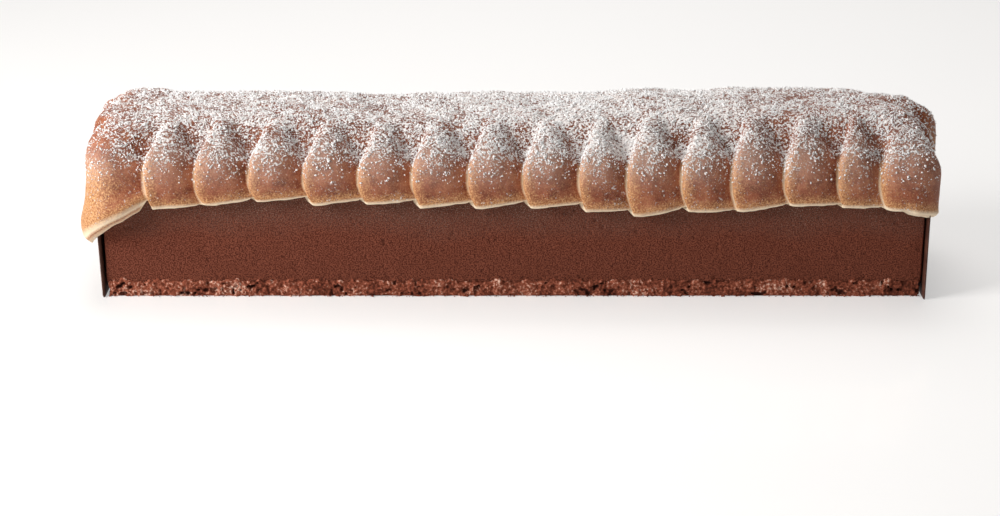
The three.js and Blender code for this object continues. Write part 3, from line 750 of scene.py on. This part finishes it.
def room_under(column):
    """The room that the topping leaves for the bar and the plaques: where each column's line from the ridge
    line out crosses a rectangle round them, and no nearer to the skin than its creases and a wall."""
    x0, y0 = column["spine_x"], SPINE_Y
    dx, dy = column["x"] - x0, column["y"] - y0
    wide = np.where(column["x"] > 0, RIGHT_ROOM, -LEFT_ROOM)
    at_end = np.abs(column["x"]) > END_START
    at_right_front = (column["x"] > 0) & (column["y"] < 0)
    end_deep = np.where(at_right_front, RIGHT_FRONT_ROOM, END_SIDE_ROOM)
    deep = np.sign(column["y"]) * np.where(at_end, end_deep, SIDE_ROOM)
    runs_wide = (dx * wide > 0) & (np.abs(dx) > 1e-6)
    to_wide = np.where(runs_wide, (wide - x0) / np.where(dx == 0, 1, dx), NO_CROSSING)
    to_deep = np.where(np.abs(dy) > 1e-6, (deep - y0) / np.where(dy == 0, 1, dy), NO_CROSSING)
    to_deep = np.where(to_deep > 0, to_deep, NO_CROSSING)
    sunk = WALL_CREASE * (1 - lobe_profile(column["t"], 1.0, column["ridge"])) + ROOM_WALL
    share = np.minimum(np.minimum(to_wide, to_deep), 1 - sunk / np.hypot(dx, dy))
    return np.stack([x0 + dx * share, y0 + dy * share], axis=-1)


def underside(column, rim):
    """The rows under the rim, inwards: the pale lip, down by its depth times a share and in by its inset
    times the share squared, the wall of the room in two steps, its roof, and the line under the ridge."""
    out = at_height(column["out"], 0.0)
    level_rim = at_height(rim[:, :2], 0.0)
    wave = 0.3 * grain(level_rim, 5.0, 54) + 0.15 * grain(level_rim, 2.2, 55)
    wave = wave * (1 - 0.7 * ease(*DEEP_LIP, column["lip"]))
    lip = (column["lip"] * (1 + wave))[:, None]
    inset = LIP_INSET + lip * LIP_INSET_SHARE
    up = np.array([0.0, 0.0, 1.0])
    lip_rows = [rim - out * inset * share**2 - up * lip * share for share in LIP_SHARES]
    room = room_under(column)
    wall_foot = lip_rows[-1][:, 2] * (1 - ROOM_FOOT_SHARE) + ROOM_FOOT * ROOM_FOOT_SHARE
    low_wall = at_height(room, np.minimum(wall_foot, ROOM_FOOT_HIGHEST))
    half_wall = (lip_rows[-1] + low_wall) / 2
    roof = at_height(room, ROOM_TOP)
    under_ridge = np.stack([column["spine_x"], np.full(len(room), SPINE_Y)], axis=-1)
    return np.stack([*lip_rows, half_wall, low_wall, roof, at_height(under_ridge, ROOM_TOP)])


rim = shell[-1]
under = underside(column, rim)
grid = np.concatenate([shell, under])

# How each place on the skin looks, from 0 to 1. It is gold near its rim, near the left edge of each lobe and
# on the flap that hangs at the left corner, and cream right along those edges; on the left edges and the flap
# this is partly thin baked batter and partly painted light from the key lamp on the left. It is dusted where
# it faces up, most round one place along the log, least round another, in mm, and less on flanks that face
# right, partly as painted shade. A pale haze on its swells is partly the finest sugar and partly painted
# light, strongest on the crests and weaker on flanks that face right.
EDGE_REACH = 12.0
MOST_SUGAR = (35.0, 55.0)
LEAST_SUGAR = (-176.0, 10.0)
t = column["t"]
x, y, z = np.moveaxis(shell, -1, 0)
from_rim = np.linalg.norm(shell - rim, axis=-1)
from_left = np.minimum(t * column["width"], EDGE_REACH)
gold_rim = (0.95 - 0.2 * t) * (1 - ease(0.6, 6.2, from_rim))
# Painted light, in part: the gold along each lobe's left edge and on the left flap is partly thin baked batter
# and partly light from the key lamp on the left.
gold_and_painted_light_left = (1 - ease(0.4, 7.0, from_left)) * (1 - ease(0.3, 0.75, height))
flap = (1 - ease(-180, -160, x)) * (1 - ease(0.0, 0.75, height)) * ease(10, 30, -y)
gold = np.clip(np.maximum(np.maximum(gold_rim, gold_and_painted_light_left), flap), 0, 1)
cream_rim = (1 - ease(0.0, 0.5, from_rim)) * (0.7 - 0.4 * t)
# Painted light, in part: the cream line along each lobe's left edge, partly its thin edge and partly lit edge.
cream_and_painted_light_left = 0.6 * (1 - ease(0.1, 0.7, from_left)) * (1 - ease(0.0, 0.5, height))
cream = np.maximum(cream_rim, cream_and_painted_light_left)
low_share = 0.02 + 0.14 * ease(-0.1, 0.35, height)
high_share = 0.14 * ease(0.15, 0.65, height) - 0.02 * ease(0.7, 0.98, height)
level_share = 0.16 * ease(0.3, 0.95, facing[..., 2]) * ease(0.15, 0.6, height)
heap = 1.08 + 0.34 * np.exp(-(((x - MOST_SUGAR[0]) / MOST_SUGAR[1]) ** 2)) - 0.08 * ease(70, 150, x)
heap = heap - 0.5 * np.exp(-(((x - LEAST_SUGAR[0]) / LEAST_SUGAR[1]) ** 2)) * ease(0.2, 0.6, height)
# Painted shade, in part: flanks that face right, away from the key lamp, get less dust and less haze, partly
# thinner sugar and partly shade.
facing_right = ease(0.08, 0.5, facing[..., 0]) * ease(-0.1, 0.3, height)
right_flank_thinning = 1 - 0.4 * facing_right * (1 - 0.8 * ease(0.35, 0.7, height))
dust = np.clip(right_flank_thinning * (low_share + high_share + level_share) * heap, 0, 1)
# Painted light, in part: a pale haze of the finest sugar, strongest on the crests of the swells, as painted
# light there, and weaker on flanks that face right.
sugar_haze_and_painted_light = 0.46 * ease(46, 66, z) * (1 - ease(0.5, 0.95, height)) * profile * right_flank_thinning * heap

# The pale edge is baked brown in a line along its middle wherever it is deep.
bare = np.zeros(under.shape[:2])
line = bare.copy()
line[: len(LIP_SHARES)] = np.array([0.15, 1.0, 0.45, 0.1])[:, None] * ease(*DEEP_LIP, column["lip"])
marks = {
    "gold": np.concatenate([gold, 1 - 0.6 * line]),
    "cream": np.concatenate([cream, 0.95 - 0.9 * line]),
    "dust": np.concatenate([dust, bare]),
    "sugar_haze_and_painted_light": np.concatenate([np.clip(sugar_haze_and_painted_light, 0, 0.8), bare]),
}

# Browned egg-white batter: a thin dry crust with a soft sheen, red-brown where thick and gold where thin. It
# is blotched over 8 mm and stippled by burst bubbles about 1.1 and 0.7 mm wide. The milled sugar is too fine
# to show, so it is drawn in specks of 1 mm, drifted over 12 mm.
topping_finish, tree, shader = new_finish(
    "browned_piped_batter", Roughness=0.7, IOR=1.42, Specular_IOR_Level=0.3
)
place = add(tree, "TexCoord").outputs["Object"]
gold_at = add(tree, "Attribute", attribute_name="gold").outputs["Fac"]
cream_at = add(tree, "Attribute", attribute_name="cream").outputs["Fac"]
dust_at = add(tree, "Attribute", attribute_name="dust").outputs["Fac"]
haze_and_light_at = add(tree, "Attribute", attribute_name="sugar_haze_and_painted_light").outputs["Fac"]
blotch = add(tree, "TexNoise", {"Vector": place, "Scale": cells(7.692), "Detail": 4.0, "Roughness": 0.6})
stipple = add(tree, "TexNoise", {"Vector": place, "Scale": cells(1.111), "Detail": 3.0, "Roughness": 0.65})
toast_stops = [(0.3, "#693122"), (0.7, "#ad6b4c"), (0.5, "#914e35")]
toast = add(tree, "ValToRGB", {"Fac": blotch}, stops=toast_stops)
stippled = add(tree, "MixRGB", {0: 0.55, 1: toast, 2: stipple}, blend_type="SOFT_LIGHT")
pores = add(tree, "TexNoise", {"Vector": place, "Scale": cells(0.6667), "Detail": 2.0, "Roughness": 0.6})
gilt = add(tree, "ValToRGB", {"Fac": pores}, stops=[(0.32, "#99602f"), (0.64, "#d3a070")])
ragged = {"From Min": 0.3, "From Max": 0.7, "To Min": -0.5, "To Max": 0.5}
gold_edge = add(tree, "MapRange", {"Value": pores, **ragged})
gold_sum = add(tree, "Math", {0: gold_at, 1: gold_edge}, operation="ADD", use_clamp=True)
golden = add(tree, "MixRGB", {0: gold_sum, 1: stippled, 2: gilt})
creamy = add(tree, "MixRGB", {0: cream_at, 1: golden, 2: tint("#f2dfc2")})
# Painted shade: where the sugar lies thick, the crust between its grains is darkened, as shade between the
# grains.
painted_gap_shade = add(tree, "MapRange", {"Value": dust_at, "From Min": 0.26, "From Max": 0.5, "To Max": 0.6})
shaded = add(tree, "MixRGB", {0: painted_gap_shade, 1: creamy, 2: tint("#5c3527")})
# The pale haze: partly fine sugar, partly painted light on the swells.
hazed_and_lit = add(tree, "MixRGB", {0: haze_and_light_at, 1: shaded, 2: tint("#ceab99")})
specks = add(tree, "TexNoise", {"Vector": place, "Scale": cells(1.0), "Detail": 2.0, "Roughness": 0.65})
drift = add(tree, "TexNoise", {"Vector": place, "Scale": cells(11.765), "Detail": 3.0})
drifted = add(tree, "Math", {0: drift, 1: 0.9, 2: -0.45}, operation="MULTIPLY_ADD")
amount = add(tree, "Math", {0: dust_at, 1: drifted}, operation="ADD")
level = add(tree, "Math", {0: amount, 1: 0.36, 2: specks}, operation="MULTIPLY_ADD")
powder = add(tree, "MapRange", {"Value": level, "From Min": 0.66, "From Max": 0.74})
sugared = add(tree, "MixRGB", {0: powder, 1: hazed_and_lit, 2: tint("#efe8e4")})
tree.links.new(sugared.outputs[0], shader.inputs["Base Color"])
dry = add(tree, "MapRange", {"Value": powder, "To Min": 0.56, "To Max": 0.95})
tree.links.new(dry.outputs[0], shader.inputs["Roughness"])
thick = add(tree, "Math", {0: powder, 1: 0.8, 2: stipple}, operation="MULTIPLY_ADD")
bump = add(tree, "Bump", {"Height": thick, "Strength": 0.8, "Distance": 0.0004})
tree.links.new(bump.outputs[0], shader.inputs["Normal"])


def kept_inside(points):
    """The points moved onto the solids' own box where they lie outside it."""
    return np.clip(points, np.array(cad_low) * TO_MM, np.array(cad_high) * TO_MM)


points = kept_inside(grid.reshape(-1, 3) + LOG_CENTRE)
faces = ring_faces(*grid.shape[:2])
topping = merged(new_piece("browned_lobed_topping", points, faces, topping_finish, marks))
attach(topping, "root")
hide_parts("lobed_topping")

# ----------------------------------------------------------------------------------------------------------
# Icing sugar: milled white sugar shaken over the topping through a sieve. It lies thick where the topping
# faces up and in the hollows, and clings in small clumps further down. Each kind is one mesh of tiny solids.
# ----------------------------------------------------------------------------------------------------------
SUGAR_KINDS = {
    "icing_sugar_fine": {"count": 24000, "radii": (0.14, 0.26), "spread": 1.6, "stray": 0.004},
    "icing_sugar_grains": {"count": 24000, "radii": (0.22, 0.4), "spread": 1.44, "stray": 0.01},
    "icing_sugar_clumps": {"count": 14000, "radii": (0.32, 0.62), "spread": 1.2, "stray": 0.012},
}
SUGAR_SEED = 70
SUGAR_LIFT = 0.35
GRAIN_CORNERS = np.array([(1, 0, 0), (-1, 0, 0), (0, 1, 0), (0, -1, 0), (0, 0, 1), (0, 0, -1)], dtype=float)
UPPER_FACES = [(0, 2, 4), (2, 1, 4), (1, 3, 4), (3, 0, 4)]
LOWER_FACES = [(2, 0, 5), (1, 2, 5), (3, 1, 5), (0, 3, 5)]
GRAIN_FACES = np.array(UPPER_FACES + LOWER_FACES)

# Icing sugar: a dry white powder, wholly matt, a little greyer in patches of 1.1 mm.
sugar_finish, tree, shader = new_finish("milled_icing_sugar", Roughness=1.0, IOR=1.5)
place = add(tree, "TexCoord").outputs["Object"]
cloud = add(tree, "TexNoise", {"Vector": place, "Scale": cells(1.111), "Detail": 2.0})
white = add(tree, "ValToRGB", {"Fac": cloud}, stops=[(0.3, "#eeebe9"), (0.7, "#fbfaf9")])
tree.links.new(white.outputs[0], shader.inputs["Base Color"])


def sugar_places(count, spread, stray, rng):
    """Places on the topping's skin above its widest level: cells of its grid, drawn with a chance of
    area * (stray * drifts + dust^spread) * patches, a random place in each by two shares, and its normal."""
    here, below = shell[:-1], shell[1:]
    beside, far = np.roll(here, -1, axis=1), np.roll(below, -1, axis=1)
    area = np.linalg.norm(np.cross(below - here, beside - here), axis=-1)
    drifts = np.clip(0.3 + 2.5 * grain(here, 7.0, 63), 0, None)
    patchy = np.clip(0.5 + 1.0 * grain(here, 1.3, 61) + 0.5 * grain(here, 6.0, 62), 0.03, None)
    above_widest = height[:-1] > 0.02
    chance = (area * (stray * drifts + dust[:-1] ** spread) * patchy * above_widest).ravel()
    cell = rng.choice(len(chance), size=count, p=chance / chance.sum())
    u, v = rng.uniform(0, 1, (2, count, 1))
    corners = [side.reshape(-1, 3)[cell] for side in (here, beside, below, far)]
    upper = corners[0] * (1 - u) + corners[1] * u
    lower = corners[2] * (1 - u) + corners[3] * u
    return upper * (1 - v) + lower * v + LOG_CENTRE, facing[:-1].reshape(-1, 3)[cell]


def sugar(number, name, count, radii, spread, stray):
    """One kind of sugar: eight-sided grains, mostly near the smaller radius, with their centres lifted over
    the skin by a share of it."""
    rng = np.random.default_rng(SUGAR_SEED + number)
    place, normal = sugar_places(count, spread, stray, rng)
    sizes = radii[0] + (radii[1] - radii[0]) * rng.uniform(0, 1, count) ** 1.5
    centres = place + normal * (sizes * SUGAR_LIFT)[:, None]
    points, faces = scattered(GRAIN_CORNERS, GRAIN_FACES, centres, sizes, rng)
    return new_piece(name, kept_inside(points), faces, sugar_finish)


for number, (name, kind) in enumerate(SUGAR_KINDS.items()):
    grains = sugar(number, name, **kind)
    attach(grains, "root")

# ----------------------------------------------------------------------------------------------------------
# The studio: a pale glossy sheet, a soft key light from the upper left, a wide one above, a weak one to fill
# the front and one for the sheet behind, in a pale room that gives the cake itself little light.
# ----------------------------------------------------------------------------------------------------------
FLOOR_SIZE = 12.0
LIGHTS = {
    "key_light": {"place": (-0.8, -0.38, 0.45), "aim": (0, 0, 0.04), "size": 0.45, "power": 11.2},
    "top_light": {"place": (0.1, 0.25, 1.3), "aim": (0, 0, 0.04), "size": 0.9, "power": 5.6},
    "fill_light": {"place": (0.1, -0.55, 1.1), "aim": (-0.05, 0, 0.07), "size": 0.9, "power": 1.3},
    "rear_light": {"place": (0, 0.75, 0.9), "aim": (0, 0.5, 0), "size": 0.9, "power": 6.0},
}
CAMERA_PLACE = np.array([-5.9, -896.6, 327.0])
CAMERA_DOWN = 19.8
FRAME_WIDTH_PX = 1000.0
FOCAL_PX = 2144.0
SENSOR = 36.0

floor_finish, tree, shader = new_finish(
    "pale_glossy_sheet", Roughness=0.12, IOR=1.5, Specular_IOR_Level=0.12
)
shader.inputs["Base Color"].default_value = tint("#d2cfcc")
shader.inputs["Emission Color"].default_value = tint("#ffffff")
shader.inputs["Emission Strength"].default_value = 0.4
half = FLOOR_SIZE / 2
corners = np.array([(-half, -half, 0), (half, -half, 0), (half, half, 0), (-half, half, 0)]) * TO_MM
floor = new_piece("studio_floor", corners, np.array([[0, 1, 2, 3]]), floor_finish, smooth=False)

# The room: dim where it lights things, pale where it is seen, and darker with height.
room = bpy.data.worlds.new("pale_room")
bpy.context.scene.world = room
room.use_nodes = True
tree = room.node_tree
background = tree.nodes["Background"]
direction = add(tree, "TexCoord").outputs["Generated"]
rise = add(tree, "SeparateXYZ", {"Vector": direction}).outputs["Z"]
fading = {"From Min": 0.12, "From Max": 0.34, "To Min": 0.8, "To Max": 0.34}
glow = add(tree, "MapRange", {"Value": rise, **fading})
tree.links.new(glow.outputs[0], background.inputs["Strength"])
seen = add(tree, "LightPath").outputs["Is Camera Ray"]
wall = add(tree, "MixRGB", {0: seen, 1: tint("#404040"), 2: tint("#f4f2f0")})
tree.links.new(wall.outputs[0], background.inputs["Color"])


def soft_light(name, place, aim, size, power):
    """A square area light of that size in metres, at its place and turned to face its aim."""
    lamp = bpy.data.lights.new(name, "AREA")
    lamp.size = size
    lamp.energy = power
    holder = bpy.data.objects.new(name, lamp)
    holder.location = place
    holder.rotation_euler = (Vector(aim) - Vector(place)).to_track_quat("-Z", "Y").to_euler()
    bpy.context.scene.collection.objects.link(holder)


for name, light in LIGHTS.items():
    soft_light(name, **light)

camera = bpy.data.cameras.new("camera")
camera.sensor_width = SENSOR
camera.lens = FOCAL_PX * SENSOR / FRAME_WIDTH_PX
camera.clip_start, camera.clip_end = 0.05, 50.0
viewer = bpy.data.objects.new("camera", camera)
viewer.location = (CAMERA_PLACE + LOG_CENTRE) * MM
viewer.rotation_euler = (math.radians(90 - CAMERA_DOWN), 0, 0)
bpy.context.scene.collection.objects.link(viewer)
bpy.context.scene.camera = viewer
bpy.context.scene.view_settings.view_transform = "Standard"
